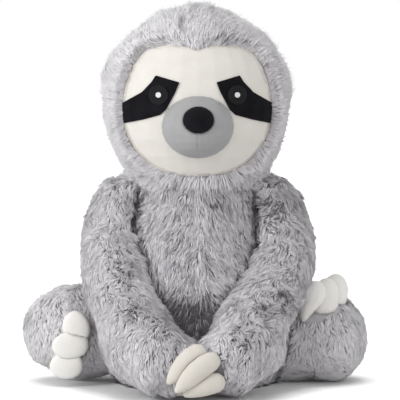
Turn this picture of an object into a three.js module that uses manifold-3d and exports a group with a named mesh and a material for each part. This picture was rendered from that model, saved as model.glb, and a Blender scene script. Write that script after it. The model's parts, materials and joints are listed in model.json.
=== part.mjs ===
// A seated plush sloth: furry body, hooded head, long arms and legs, and twelve stuffed claws.
// Millimetres, +Z up. The origin is the centre of the flat seat, and the face looks towards -Y.
// Left and right are as seen from the front: left is -X.
import * as THREE from "three";
import { mergeVertices } from "three/addons/utils/BufferGeometryUtils.js";
import Module from "manifold-3d";

const wasm = await Module();
wasm.setup();

// Clearances
const CLEARANCE = 0.4; // between two sewn pieces
const TURNING_CLEARANCE = 1.4; // around the head, which turns between the arms
const SEAT_SINK = 0.5; // how much the body is flattened on the floor
const OVERRUN = 60; // how far a cutting form runs past what it cuts

// Body
const BODY_HEIGHT = 177;
const BODY_WIDTH = 172;
const BODY_DEPTH = 150;
const BODY_WIDEST_RISE = 44;
const SEAT_WIDTH = 138;
const SEAT_DEPTH = 118;
const CHEST_RISE = 128;
const CHEST_WIDTH = 128;
const CHEST_DEPTH = 112;
const NECK_WIDTH = 106;
const NECK_DEPTH = 92;

// Head
const HEAD_WIDTH = 172;
const HEAD_DEPTH = 152;
const HEAD_WIDEST_LIFT = 84; // of its widest place above the neck
const HEAD_HEIGHT = 162; // from the neck to the crown
const HEAD_LOWER_REACH = 101; // how far the round form would run below its widest place, past the neck
const HEAD_FORWARD = 3; // how far the head sits in front of the neck
const HEAD_TURN = 1.2; // degrees that the head is turned to the right

// Face
const FACE_LIFT = 69.5; // of its middle above the neck
const FACE_RISE = BODY_HEIGHT + FACE_LIFT;
const FACE_WIDTH = 131; // seam to seam
const FACE_HEIGHT = 116;
const FACE_FORM_LIFT = 79; // of the middle of the rounded form that the face is part of
const FACE_FORM_WIDTH = 162;
const FACE_FORM_UPPER_REACH = 76.5; // from its middle to its top
const FACE_FORM_LOWER_REACH = 89;
const FACE_BULGE = 4; // how far the face stands in front of the head
const FACE_THICKNESS = 6;
const PATCH_THICKNESS = 1.2;
const EYE_WIDTH = 17;
const EYE_THICKNESS = 0.9;
const EYE_SPREAD = 34.2; // from the middle of the face
const EYE_LIFT = 14; // above the middle of the face
const GLINT_WIDTH = 4.8;
const GLINT_THICKNESS = 0.7;
const STITCH_GAP = 0.3; // between layers sewn on each other
const MUZZLE_WIDTH = 63;
const MUZZLE_HEIGHT = 56;
const MUZZLE_DEPTH = 56;
const MUZZLE_PROUD = 19; // in front of the face
const MUZZLE_DROP = 13; // below the middle of the face
const NOSE_WIDTH = 27.5;
const NOSE_HEIGHT = 24;
const NOSE_DEPTH = 22;
const NOSE_PROUD = 6; // in front of the muzzle
const NOSE_LIFT = 5; // above the middle of the muzzle

// Arms
const SHOULDER_SPREAD = 71;
const SHOULDER_DROP = 14; // below the neck
const SHOULDER_RISE = BODY_HEIGHT - SHOULDER_DROP;
const SHOULDER_WIDTH = 58;
const SHOULDER_SLOPE_LENGTH = 45; // over which the shoulder rounds off
const ELBOW_WIDTH = 61;
const WRIST_WIDTH = 66;
const WRIST_DEPTH = 60;
const PAW_WIDTH = 84;
const PAW_DEPTH = 76;
const PAW_SINK = 2.5; // how much a paw is flattened on the floor
const ARM_REACH = 96; // how far the paws rest in front of the shoulders
const ARM_HINGE_SPREAD = 62;
const ARM_HINGE_LIFT = 1; // above the neck
const ARM_HINGE_TURN = 15; // degrees that the shoulder seam turns out from straight ahead
const ARM_SPREAD_RANGE = 45; // degrees

// Legs
const HIP_HEIGHT = 78;
const HIP_DEPTH = 76;
const HIP_HINGE_SPREAD = 72;
const HIP_HINGE_BACK = 40;
const FOOT_SPREAD = 118;
const FOOT_BACK = 16; // how far the feet sit behind the middle of the seat
const FOOT_WIDTH = 78;
const FOOT_HEIGHT = { left: 97, right: 82 }; // the left foot has rolled onto its edge
const FOOT_SINK = 4; // how much a foot is flattened on the floor
const FOOT_DEPTH = { left: 80, right: 86 };
const FOOT_ROUNDING = { left: 60, right: 34 }; // length over which its end rounds off
const LEG_SPREAD_RANGE = 25; // degrees

// Claws
const HAND_CLAW_WIDTH = 19;
const HAND_CLAW_THICKNESS = 12.5;
const HAND_CLAW_POINT = 20; // over which its tip rounds off
const FOOT_CLAW_WIDTH = 25;
const FOOT_CLAW_THICKNESS = 16;
const FOOT_CLAW_POINT = 13;

// Facets
const BODY_RINGS = 16;
const BODY_SIDES = 32;
const LIMB_RINGS = 16;
const LIMB_SIDES = 20;
const CLAW_RINGS = 8;
const CLAW_SIDES = 10;
const HEAD_SEGMENTS = 32;
const FACE_SEGMENTS = 32;
const SMALL_SEGMENTS = 24;
const OUTLINE_SEGMENTS = 3; // straight steps in each stretch of a sewn outline
const SWEEP_STEPS = 6;

// Outlines, as shares of the face's half width and half height from its middle, right side
const FACE_OUTLINE_SHARES = [
  [0, 0.9], [0.2, 0.99], [0.42, 1.015], [0.7, 0.93], [0.88, 0.66], [0.985, 0.3],
  [1.0, -0.05], [0.94, -0.38], [0.79, -0.66], [0.55, -0.88], [0.28, -0.975], [0, -1.0],
];
const PATCH_OUTLINE_SHARES = [
  [0.243, 0.43], [0.556, 0.535], [0.61, 0.44], [0.74, 0.285], [1.1, 0.06],
  [1.1, -0.22], [0.72, -0.13], [0.5, -0.06], [0.42, 0.02], [0.3, 0.27],
];

// Centre lines. An arm's is in shares of the shoulder's spread, of the arm's reach, and of the height
// from the resting paw up to the shoulder. A leg's is in shares of the foot's spread, of its distance
// back and of its height.
const ARM_LINE_SHARES = {
  left: [
    [0.73, -0.03, 1.23], [0.94, 0, 0.98], [1.04, 0.12, 0.76], [1.03, 0.3, 0.59], [0.97, 0.52, 0.42],
    [0.81, 0.74, 0.24], [0.66, 0.91, 0.06], [0.48, 0.99, 0.0], [0.2, 1.03, 0.01], [-0.03, 1.03, 0.06],
  ],
  right: [
    [0.73, -0.03, 1.23], [0.95, 0, 0.98], [1.07, 0.12, 0.76], [1.08, 0.3, 0.59], [0.96, 0.52, 0.42],
    [0.71, 0.74, 0.24], [0.61, 0.91, 0.06], [0.48, 0.99, 0.0], [0.2, 1.03, 0.01], [-0.03, 1.03, 0.06],
  ],
};
const LEG_LINE_SHARES = {
  left: [[0.26, 1.0, 1.0], [0.65, 1.2, 1.0], [1.0, 1.0, 0.97], [1.32, 0.8, 0.74]],
  right: [[0.26, 1.0, 1.0], [0.65, 1.2, 1.0], [1.0, 1.0, 1.0], [1.325, 0.8, 1.02]],
};
const ARM_WIDTH_SHARES = { shoulder: 0.12, elbow: 0.44, wrist: 0.62, paw: 0.83 }; // of the arm's length
const LEG_WIDTH_SHARES = { hip: 0.2, foot: 0.7 }; // of the leg's length

// Claws, root then tip, from the middle of the paw or foot, in shares of its half width:
// towards the other side, back, and up.
const PAW_MIDDLE_SHARES = [0.6, 1.0]; // of the shoulder's spread and of the arm's reach
const HAND_CLAW_SHARES = {
  left: [
    [[0.5, -0.56, 0.02], [1.22, -0.72, -0.18]],
    [[0.36, -0.52, -0.36], [1.25, -0.6, -0.44]],
    [[0.3, -0.38, -0.56], [1.25, -0.46, -0.64]],
  ],
  right: [
    [[0.83, -0.86, 0.29], [1.6, -1.18, -0.41]],
    [[0.54, -0.93, 0.12], [1.44, -1.3, -0.56]],
    [[0.42, -0.9, -0.38], [1.28, -1.16, -0.64]],
  ],
};
const FOOT_CLAW_SHARES = {
  left: [
    [[0.33, -1.08, -0.14], [0.24, -1.08, 0.61]],
    [[0.57, -1.08, -0.12], [-0.27, -1.14, -0.24]],
    [[0.44, -1.0, -0.6], [-0.33, -1.0, -0.7]],
  ],
  right: [
    [[0.44, -0.84, 0.49], [0.23, -0.68, 1.45]],
    [[0.1, -0.66, 0.54], [-0.02, -0.5, 1.5]],
    [[-0.1, -0.42, 0.7], [-0.26, -0.22, 1.57]],
  ],
};
const CLAW_FULLEST_SHARE = 0.42; // of its length from the root, where a claw is widest
const CLAW_ROOT_SHARE = 0.8; // of its width
const HAND_CLAW_TIP_SHARE = 0.6;
const FOOT_CLAW_TIP_SHARE = 0.85;
const CLAW_BOW_SHARE = 0.07; // of its length, by which a claw bows out

const FUR = new THREE.MeshStandardMaterial({ color: 0xb9b6bd, roughness: 1.0, metalness: 0.0 });
const FACE_CLOTH = new THREE.MeshStandardMaterial({ color: 0xe9e6df, roughness: 0.9, metalness: 0.0 });
const MUZZLE_CLOTH = new THREE.MeshStandardMaterial({ color: 0xa9a9ac, roughness: 0.9, metalness: 0.0 });
const BLACK_VELVET = new THREE.MeshStandardMaterial({ color: 0x1c1b1e, roughness: 0.95, metalness: 0.0 });
const EYE_THREAD = new THREE.MeshStandardMaterial({ color: 0x2f2e33, roughness: 0.6, metalness: 0.0 });
const WHITE_THREAD = new THREE.MeshStandardMaterial({ color: 0xf5f5f2, roughness: 0.6, metalness: 0.0 });
const CLAW_CLOTH = new THREE.MeshStandardMaterial({ color: 0xe6e2da, roughness: 0.9, metalness: 0.0 });

const SIDES = { left: -1, right: 1 };
const ACROSS = new THREE.Vector3(1, 0, 0);
const FRONT = new THREE.Vector3(0, -1, 0);
const BACK = new THREE.Vector3(0, 1, 0);
const UP = new THREE.Vector3(0, 0, 1);

// Solids

function solidFrom(geometry) {
  const bare = geometry.clone();
  bare.deleteAttribute("normal");
  bare.deleteAttribute("uv");
  const merged = mergeVertices(bare);
  return new wasm.Manifold(
    new wasm.Mesh({
      numProp: 3,
      vertProperties: merged.attributes.position.array,
      triVerts: new Uint32Array(merged.index.array),
    }),
  );
}

function geometryFrom(solid) {
  const mesh = solid.getMesh();
  const geometry = new THREE.BufferGeometry();
  geometry.setAttribute("position", new THREE.BufferAttribute(mesh.vertProperties, 3));
  geometry.setIndex(new THREE.BufferAttribute(mesh.triVerts, 1));
  geometry.computeVertexNormals();
  return geometry;
}

// A smooth curve through [place, value] stations, read at one place.
function smoothValue(stations, place) {
  const last = stations.length - 1;
  if (place <= stations[0][0]) return stations[0][1];
  if (place >= stations[last][0]) return stations[last][1];
  const i = stations.findLastIndex(([at]) => at <= place);
  const slope = (k) => {
    const before = stations[Math.max(k - 1, 0)];
    const after = stations[Math.min(k + 1, last)];
    return (after[1] - before[1]) / (after[0] - before[0]);
  };
  const [startPlace, startValue] = stations[i];
  const [endPlace, endValue] = stations[i + 1];
  const span = endPlace - startPlace;
  const t = (place - startPlace) / span;
  const rise = t * t * (3 - 2 * t);
  const bendOut = t * (1 - t) * (1 - t) * span * slope(i);
  const bendIn = t * t * (t - 1) * span * slope(i + 1);
  return startValue + (endValue - startValue) * rise + bendOut + bendIn;
}

// Closes rings of points, all with the same number of points, with a tip at each end.
function skinOver(rings, firstTip, lastTip) {
  const sides = rings[0].length;
  const points = [firstTip, ...rings.flat(), lastTip];
  const lastPoint = points.length - 1;
  const lastRing = rings.length - 1;
  const at = (ring, side) => 1 + ring * sides + (side % sides);
  const faces = [];
  for (let side = 0; side < sides; side++) {
    faces.push(0, at(0, side + 1), at(0, side));
    faces.push(lastPoint, at(lastRing, side), at(lastRing, side + 1));
    for (let ring = 0; ring < lastRing; ring++) {
      faces.push(at(ring, side), at(ring, side + 1), at(ring + 1, side + 1));
      faces.push(at(ring, side), at(ring + 1, side + 1), at(ring + 1, side));
    }
  }
  const geometry = new THREE.BufferGeometry().setFromPoints(points);
  geometry.setIndex(faces);
  return solidFrom(geometry);
}

// A stuffed form along a bent line. across and through give its half sizes at a share of its length:
// across is measured near widthAxis, through at right angles to it. A cap is the length over which an
// end rounds off, and an end with a cap of 0 is blunt. grow is a clearance added all round.
function stuffedForm({ path, widthAxis, across, through, caps, rings, sides, grow = 0 }) {
  const line = new THREE.CatmullRomCurve3(path, false, "centripetal");
  const length = line.getLength();
  const [firstCap, lastCap] = caps;
  const shareOf = (place) => THREE.MathUtils.clamp(place / length, 0, 1);
  const centreAt = (place) => {
    const share = shareOf(place);
    return line.getPointAt(share).addScaledVector(line.getTangentAt(share), place - share * length);
  };
  const roundness = (fromEnd, cap) => {
    if (cap === 0) return 1;
    const left = 1 - Math.min(fromEnd / (cap + grow), 1);
    return Math.sqrt(1 - left * left);
  };
  const ringAt = (place) => {
    const share = shareOf(place);
    const tangent = line.getTangentAt(share);
    const wide = widthAxis.clone().addScaledVector(tangent, -widthAxis.dot(tangent)).normalize();
    const deep = tangent.clone().cross(wide);
    const round = roundness(place + grow, firstCap) * roundness(length + grow - place, lastCap);
    const halfWide = (across(share) + grow) * round;
    const halfDeep = (through(share) + grow) * round;
    return Array.from({ length: sides }, (_, side) => {
      const turn = (2 * Math.PI * side) / sides;
      return centreAt(place)
        .addScaledVector(wide, halfWide * Math.cos(turn))
        .addScaledVector(deep, halfDeep * Math.sin(turn));
    });
  };
  const first = firstCap === 0 ? 0 : 1;
  const last = lastCap === 0 ? rings : rings - 1;
  const ringsOfPoints = [];
  for (let ring = first; ring <= last; ring++) {
    const share = (1 - Math.cos((Math.PI * ring) / rings)) / 2;
    ringsOfPoints.push(ringAt(share * (length + 2 * grow) - grow));
  }
  return skinOver(ringsOfPoints, centreAt(-grow), centreAt(length + grow));
}

// A round form about a centre, with its own reach up and down, grown by a clearance.
function roundForm({ centre, wide, deep, up, down = up, segments, grow = 0 }) {
  const geometry = new THREE.SphereGeometry(1, segments, segments / 2);
  geometry.rotateX(Math.PI / 2);
  const points = geometry.attributes.position;
  for (let i = 0; i < points.count; i++) {
    const reach = points.getZ(i) > 0 ? up : down;
    points.setXYZ(
      i,
      centre.x + points.getX(i) * (wide + grow),
      centre.y + points.getY(i) * (deep + grow),
      centre.z + points.getZ(i) * (reach + grow),
    );
  }
  return solidFrom(geometry);
}

// An outline in X and Z, extruded along Y from its front to its back.
function facingForm(outline, frontY, backY) {
  const geometry = new THREE.ExtrudeGeometry(outline, {
    depth: backY - frontY,
    bevelEnabled: false,
    curveSegments: SMALL_SEGMENTS,
  });
  geometry.rotateX(Math.PI / 2);
  geometry.translate(0, backY, 0);
  return solidFrom(geometry);
}

function turnAbout(hinge, degrees) {
  const { point, axis } = hinge;
  const away = new THREE.Matrix4().makeTranslation(point.x, point.y, point.z);
  const turn = new THREE.Matrix4().makeRotationAxis(axis, THREE.MathUtils.degToRad(degrees));
  const home = new THREE.Matrix4().makeTranslation(-point.x, -point.y, -point.z);
  return away.multiply(turn).multiply(home);
}

// Cuts a limb by what carries it, at rest and at steps of the limb's range, so that it moves clear.
function clearOf(limb, neighbour, hinge, range) {
  let cut = limb;
  for (let step = 0; step <= SWEEP_STEPS; step++) {
    const turned = neighbour.transform(turnAbout(hinge, (-range * step) / SWEEP_STEPS).elements);
    cut = cut.subtract(turned);
  }
  return cut;
}

// The largest of a solid's separate bodies.
function mainBody(solid) {
  return solid.decompose().reduce((most, body) => (body.volume() > most.volume() ? body : most));
}

function onFloor(solid) {
  return solid.trimByPlane([0, 0, 1], 0);
}

function addNode(group, name, solid, material) {
  const mesh = new THREE.Mesh(geometryFrom(solid), material);
  mesh.name = name;
  group.add(mesh);
}

// Body

function bodyForm(grow = 0) {
  const stations = [
    [0, SEAT_WIDTH, SEAT_DEPTH],
    [BODY_WIDEST_RISE, BODY_WIDTH, BODY_DEPTH],
    [CHEST_RISE, CHEST_WIDTH, CHEST_DEPTH],
    [BODY_HEIGHT, NECK_WIDTH, NECK_DEPTH],
  ];
  const halvesOf = (column) => stations.map((station) => [station[0] / BODY_HEIGHT, station[column] / 2]);
  return stuffedForm({
    path: [new THREE.Vector3(0, 0, -SEAT_SINK), new THREE.Vector3(0, 0, BODY_HEIGHT)],
    widthAxis: ACROSS,
    across: (share) => smoothValue(halvesOf(1), share),
    through: (share) => smoothValue(halvesOf(2), share),
    caps: [0, 0],
    rings: BODY_RINGS,
    sides: BODY_SIDES,
    grow,
  });
}

// Head and face

function headForm(grow = 0, halfDepth = HEAD_DEPTH / 2, forward = HEAD_FORWARD) {
  const round = roundForm({
    centre: new THREE.Vector3(0, -forward, BODY_HEIGHT + HEAD_WIDEST_LIFT),
    wide: HEAD_WIDTH / 2,
    deep: halfDepth,
    up: HEAD_HEIGHT - HEAD_WIDEST_LIFT,
    down: HEAD_LOWER_REACH,
    segments: HEAD_SEGMENTS,
    grow,
  });
  return round.trimByPlane([0, 0, 1], BODY_HEIGHT + CLEARANCE - grow);
}

// The space that the head sweeps as it turns.
function headSweep() {
  return headForm(TURNING_CLEARANCE, HEAD_WIDTH / 2, 0);
}

const FACE_CENTRE = new THREE.Vector3(0, -HEAD_FORWARD, BODY_HEIGHT + FACE_FORM_LIFT);
const FACE_HALF_DEPTH = HEAD_DEPTH / 2 + FACE_BULGE;

function faceForm(grow = 0) {
  return roundForm({
    centre: FACE_CENTRE,
    wide: FACE_FORM_WIDTH / 2,
    deep: FACE_HALF_DEPTH,
    up: FACE_FORM_UPPER_REACH,
    down: FACE_FORM_LOWER_REACH,
    segments: FACE_SEGMENTS,
    grow,
  });
}

function faceOutline(grow = 0) {
  const halfWide = FACE_WIDTH / 2 + grow;
  const halfHigh = FACE_HEIGHT / 2 + grow;
  const side = FACE_OUTLINE_SHARES.map(([x, z]) => new THREE.Vector2(x * halfWide, FACE_RISE + z * halfHigh));
  const steps = OUTLINE_SEGMENTS * (side.length - 1);
  const rightEdge = new THREE.SplineCurve(side).getPoints(steps);
  const leftEdge = rightEdge.slice(1, -1).reverse().map((point) => new THREE.Vector2(-point.x, point.y));
  return new THREE.Shape([...rightEdge, ...leftEdge]);
}

function patchOutline(side) {
  const points = PATCH_OUTLINE_SHARES.map(
    ([x, z]) => new THREE.Vector2((side * x * FACE_WIDTH) / 2, FACE_RISE + (z * FACE_HEIGHT) / 2),
  );
  return new THREE.Shape(points);
}

// A layer of cloth or thread that follows the face, a little above it, inside an outline.
function faceLayer(outline, lift, thickness) {
  const front = FACE_CENTRE.y - FACE_HALF_DEPTH - OVERRUN;
  return facingForm(outline, front, FACE_CENTRE.y)
    .intersect(faceForm(lift + thickness))
    .subtract(faceForm(lift));
}

function discOutline(x, z, width) {
  return new THREE.Shape().absarc(x, z, width / 2, 0, 2 * Math.PI);
}

const MUZZLE_CENTRE = new THREE.Vector3(
  0,
  FACE_CENTRE.y - FACE_HALF_DEPTH - MUZZLE_PROUD + MUZZLE_DEPTH / 2,
  FACE_RISE - MUZZLE_DROP,
);

function muzzleForm(grow = 0) {
  return roundForm({
    centre: MUZZLE_CENTRE,
    wide: MUZZLE_WIDTH / 2,
    deep: MUZZLE_DEPTH / 2,
    up: MUZZLE_HEIGHT / 2,
    segments: SMALL_SEGMENTS,
    grow,
  });
}

function noseForm() {
  const muzzleFront = MUZZLE_CENTRE.y - MUZZLE_DEPTH / 2;
  return roundForm({
    centre: new THREE.Vector3(0, muzzleFront - NOSE_PROUD + NOSE_DEPTH / 2, MUZZLE_CENTRE.z + NOSE_LIFT),
    wide: NOSE_WIDTH / 2,
    deep: NOSE_DEPTH / 2,
    up: NOSE_HEIGHT / 2,
    segments: SMALL_SEGMENTS,
  });
}

function addHead(group) {
  const addTurned = (name, solid, material) =>
    addNode(group, name, mainBody(solid).rotate([0, 0, HEAD_TURN]), material);
  const front = FACE_CENTRE.y - FACE_HALF_DEPTH - OVERRUN;
  const faceBack = faceForm(-FACE_THICKNESS);
  const recess = facingForm(faceOutline(CLEARANCE), front, FACE_CENTRE.y).subtract(
    faceForm(-FACE_THICKNESS - CLEARANCE),
  );
  const panel = facingForm(faceOutline(), front, FACE_CENTRE.y).intersect(faceForm()).subtract(faceBack);
  addTurned("head", headForm().subtract(recess), FUR);
  addTurned("face_panel", panel, FACE_CLOTH);

  const muzzle = muzzleForm().subtract(faceForm(STITCH_GAP));
  addTurned("muzzle", muzzle, MUZZLE_CLOTH);
  addTurned("nose", noseForm().subtract(muzzleForm(STITCH_GAP)), BLACK_VELVET);

  const eyeLift = STITCH_GAP + PATCH_THICKNESS + STITCH_GAP;
  const glintLift = eyeLift + EYE_THICKNESS + STITCH_GAP;
  const eyeRise = FACE_RISE + EYE_LIFT;
  const insideSeam = facingForm(faceOutline(), front, FACE_CENTRE.y);
  const besideMuzzle = muzzleForm(STITCH_GAP);
  for (const [name, side] of Object.entries(SIDES)) {
    const patch = faceLayer(patchOutline(side), STITCH_GAP, PATCH_THICKNESS)
      .intersect(insideSeam)
      .subtract(besideMuzzle);
    const eyeX = side * EYE_SPREAD;
    const eye = faceLayer(discOutline(eyeX, eyeRise, EYE_WIDTH), eyeLift, EYE_THICKNESS);
    const glint = faceLayer(discOutline(eyeX, eyeRise, GLINT_WIDTH), glintLift, GLINT_THICKNESS);
    addTurned("eye_patch_" + name, patch, BLACK_VELVET);
    addTurned("eye_" + name, eye, EYE_THREAD);
    addTurned("eye_glint_" + name, glint, WHITE_THREAD);
  }
}

// Claws

// A stuffed claw from its root to its tip, with its flat side to the front.
function clawForm(claw, grow = 0) {
  const { root, tip, width, thickness, point, tipShare, bow } = claw;
  const along = tip.clone().sub(root);
  const middle = root.clone().addScaledVector(along, CLAW_FULLEST_SHARE);
  middle.addScaledVector(bow, along.length() * CLAW_BOW_SHARE);
  const profile = (half) => (share) =>
    half *
    smoothValue(
      [
        [0, CLAW_ROOT_SHARE],
        [CLAW_FULLEST_SHARE, 1],
        [1, tipShare],
      ],
      share,
    );
  return stuffedForm({
    path: [root, middle, tip],
    widthAxis: along.cross(BACK).normalize(),
    across: profile(width / 2),
    through: profile(thickness / 2),
    caps: [thickness / 2, point],
    rings: CLAW_RINGS,
    sides: CLAW_SIDES,
    grow,
  });
}

// Adds three claws. The middle one is whole, and the two beside it lie against it.
function addClaws(group, prefix, claws, neighbours) {
  const middle = clawForm(claws[1], CLEARANCE);
  claws.forEach((claw, i) => {
    let solid = neighbours.reduce((cut, neighbour) => cut.subtract(neighbour), clawForm(claw));
    if (i !== 1) solid = solid.subtract(middle);
    addNode(group, prefix + "_" + (i + 1), onFloor(mainBody(solid)), CLAW_CLOTH);
  });
}

function clawsFrom(shares, middle, half, side, sizes) {
  const place = ([x, y, z]) => new THREE.Vector3(-side * x, y, z).multiplyScalar(half).add(middle);
  return shares.map(([root, tip]) => ({ root: place(root), tip: place(tip), ...sizes }));
}

// Arms

function shoulderHinge(side) {
  const turn = THREE.MathUtils.degToRad(ARM_HINGE_TURN);
  return {
    point: new THREE.Vector3(side * ARM_HINGE_SPREAD, 0, BODY_HEIGHT + ARM_HINGE_LIFT),
    axis: new THREE.Vector3(-Math.sin(turn), -side * Math.cos(turn), 0),
  };
}

function pawRise() {
  return PAW_DEPTH / 2 - PAW_SINK;
}

function armForm(name, grow = 0) {
  const side = SIDES[name];
  const lift = SHOULDER_RISE - pawRise();
  const path = ARM_LINE_SHARES[name].map(
    ([x, y, z]) => new THREE.Vector3(side * x * SHOULDER_SPREAD, -y * ARM_REACH, pawRise() + z * lift),
  );
  const { shoulder, elbow, wrist, paw } = ARM_WIDTH_SHARES;
  const upperArm = [[shoulder, SHOULDER_WIDTH], [elbow, ELBOW_WIDTH]];
  const widths = [...upperArm, [wrist, WRIST_WIDTH], [paw, PAW_WIDTH]];
  const depths = [...upperArm, [wrist, WRIST_DEPTH], [paw, PAW_DEPTH]];
  return stuffedForm({
    path,
    widthAxis: BACK,
    across: (share) => smoothValue(widths, share) / 2,
    through: (share) => smoothValue(depths, share) / 2,
    caps: [SHOULDER_SLOPE_LENGTH, PAW_WIDTH / 2],
    rings: LIMB_RINGS,
    sides: LIMB_SIDES,
    grow,
  });
}

function handClaws(name) {
  const side = SIDES[name];
  const [inShare, reachShare] = PAW_MIDDLE_SHARES;
  const middle = new THREE.Vector3(side * inShare * SHOULDER_SPREAD, -reachShare * ARM_REACH, pawRise());
  const sizes = {
    width: HAND_CLAW_WIDTH,
    thickness: HAND_CLAW_THICKNESS,
    point: HAND_CLAW_POINT,
    tipShare: HAND_CLAW_TIP_SHARE,
    bow: UP,
  };
  return clawsFrom(HAND_CLAW_SHARES[name], middle, PAW_WIDTH / 2, side, sizes);
}

// The right hand, which lies over the left one's claws.
function upperHand() {
  return [armForm("right", CLEARANCE), ...handClaws("right").map((claw) => clawForm(claw, CLEARANCE))];
}

function addArm(group, name, body, head) {
  const side = SIDES[name];
  const hinge = shoulderHinge(side);
  let arm = clearOf(armForm(name), body, hinge, ARM_SPREAD_RANGE);
  arm = clearOf(arm, head, hinge, ARM_SPREAD_RANGE).trimByPlane([side, 0, 0], CLEARANCE / 2);
  addNode(group, "arm_" + name, onFloor(mainBody(arm)), FUR);

  const neighbours = [armForm(name, CLEARANCE)];
  if (name === "left") neighbours.push(...upperHand());
  addClaws(group, "hand_claw_" + name, handClaws(name), neighbours);
}

// Legs

function hipHinge(side) {
  return {
    point: new THREE.Vector3(side * HIP_HINGE_SPREAD, HIP_HINGE_BACK, 0),
    axis: new THREE.Vector3(0, 0, side),
  };
}

function footRise(name) {
  return FOOT_HEIGHT[name] / 2 - FOOT_SINK;
}

function legForm(name, grow = 0) {
  const side = SIDES[name];
  const path = LEG_LINE_SHARES[name].map(
    ([x, y, z]) => new THREE.Vector3(side * x * FOOT_SPREAD, y * FOOT_BACK, z * footRise(name)),
  );
  const { hip, foot } = LEG_WIDTH_SHARES;
  return stuffedForm({
    path,
    widthAxis: UP,
    across: (share) => smoothValue([[hip, HIP_HEIGHT], [foot, FOOT_HEIGHT[name]]], share) / 2,
    through: (share) => smoothValue([[hip, HIP_DEPTH], [foot, FOOT_DEPTH[name]]], share) / 2,
    caps: [HIP_DEPTH / 2, FOOT_ROUNDING[name]],
    rings: LIMB_RINGS,
    sides: LIMB_SIDES,
    grow,
  });
}

function addLeg(group, name, body) {
  const side = SIDES[name];
  const leg = clearOf(legForm(name), body, hipHinge(side), LEG_SPREAD_RANGE);
  addNode(group, "leg_" + name, onFloor(mainBody(leg)), FUR);

  const middle = new THREE.Vector3(side * FOOT_SPREAD, FOOT_BACK, footRise(name));
  const sizes = {
    width: FOOT_CLAW_WIDTH,
    thickness: FOOT_CLAW_THICKNESS,
    point: FOOT_CLAW_POINT,
    tipShare: FOOT_CLAW_TIP_SHARE,
    bow: FRONT,
  };
  const claws = clawsFrom(FOOT_CLAW_SHARES[name], middle, FOOT_WIDTH / 2, side, sizes);
  addClaws(group, "foot_claw_" + name, claws, [body, legForm(name, CLEARANCE), armForm(name, CLEARANCE)]);
}

// The whole toy

function makeSloth() {
  const sloth = new THREE.Group();
  const body = bodyForm(CLEARANCE);
  const head = headSweep();
  addNode(sloth, "body", onFloor(bodyForm()), FUR);
  addHead(sloth);
  for (const name of Object.keys(SIDES)) {
    addArm(sloth, name, body, head);
    addLeg(sloth, name, body);
  }
  return sloth;
}

export default makeSloth();
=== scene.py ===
"""A seated plush sloth: fur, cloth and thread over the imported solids, with floor, lamps and camera."""

import json
import math

import bpy
import numpy as np
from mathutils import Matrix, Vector
from mathutils.bvhtree import BVHTree
from mathutils.kdtree import KDTree

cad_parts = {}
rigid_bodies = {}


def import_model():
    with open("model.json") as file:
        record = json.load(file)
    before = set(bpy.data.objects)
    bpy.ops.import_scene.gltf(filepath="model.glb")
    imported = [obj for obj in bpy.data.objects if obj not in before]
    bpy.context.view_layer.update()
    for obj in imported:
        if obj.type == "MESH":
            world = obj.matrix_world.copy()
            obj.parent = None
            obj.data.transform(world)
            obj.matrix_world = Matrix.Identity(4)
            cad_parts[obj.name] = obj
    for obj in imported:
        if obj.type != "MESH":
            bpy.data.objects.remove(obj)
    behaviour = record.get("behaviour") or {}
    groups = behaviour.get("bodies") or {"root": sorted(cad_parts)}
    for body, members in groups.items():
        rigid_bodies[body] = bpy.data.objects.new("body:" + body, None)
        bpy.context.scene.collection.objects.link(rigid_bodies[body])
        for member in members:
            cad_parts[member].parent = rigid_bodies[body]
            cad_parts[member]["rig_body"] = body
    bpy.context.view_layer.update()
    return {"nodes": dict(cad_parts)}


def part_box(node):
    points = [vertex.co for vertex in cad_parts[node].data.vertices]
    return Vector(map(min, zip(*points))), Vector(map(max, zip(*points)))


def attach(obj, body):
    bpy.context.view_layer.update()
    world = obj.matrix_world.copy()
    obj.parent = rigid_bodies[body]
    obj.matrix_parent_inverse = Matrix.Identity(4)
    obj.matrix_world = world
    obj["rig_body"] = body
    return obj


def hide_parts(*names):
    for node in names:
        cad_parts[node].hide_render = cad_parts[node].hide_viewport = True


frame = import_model()

MM = 0.001
SEED = 11
TINY = 1e-9
FLOOR_GAP = 0.4 * MM

SIDES = ("left", "right")
FURRY = ("body", "head", "arm_left", "arm_right", "leg_left", "leg_right")
CLAWS = tuple(n for n in frame["nodes"] if "claw" in n)
SMOOTH = ("face_panel",) + CLAWS
BODY_OF = {n: o["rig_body"] for n, o in frame["nodes"].items()}

# The furry nodes that meet at the neck's seam
NECK = {n: ("head",) for n in FURRY if n[:3] != "leg"} | {"head": ("body", "arm_left", "arm_right")}

# A pair of values that fade() takes says where a change starts and where it ends.


def unit(vectors):
    """The vectors at length one."""
    size = np.linalg.norm(vectors, axis=1, keepdims=True)
    return vectors / np.maximum(size, TINY)


def fade(value, start, end):
    """0 before start, 1 after end, and smooth between."""
    share = np.clip((value - start) / (end - start), 0, 1)
    return share * share * (3 - 2 * share)


def bell(value, width):
    """1 where the value is 0, and down to nothing about two widths away."""
    return np.exp(-((value / width) ** 2))


WAVE_COUNT = 14


def waves(points, strength, width, seed):
    """A smooth random value of about this strength at each point, in bumps of about this width."""
    rng = np.random.default_rng(seed)
    turns = rng.normal(size=(3, WAVE_COUNT)) * math.pi / (2 * width)
    offsets = rng.uniform(0, 2 * math.pi, WAVE_COUNT)
    return strength * (np.sin(points @ turns + offsets).sum(1) / math.sqrt(WAVE_COUNT))


# Meshes

SMOOTHING = 0.5


def link(name, data):
    """A new object of this mesh, lamp or camera, in the scene."""
    obj = bpy.data.objects.new(name, data)
    bpy.context.scene.collection.objects.link(obj)
    return obj


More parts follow.
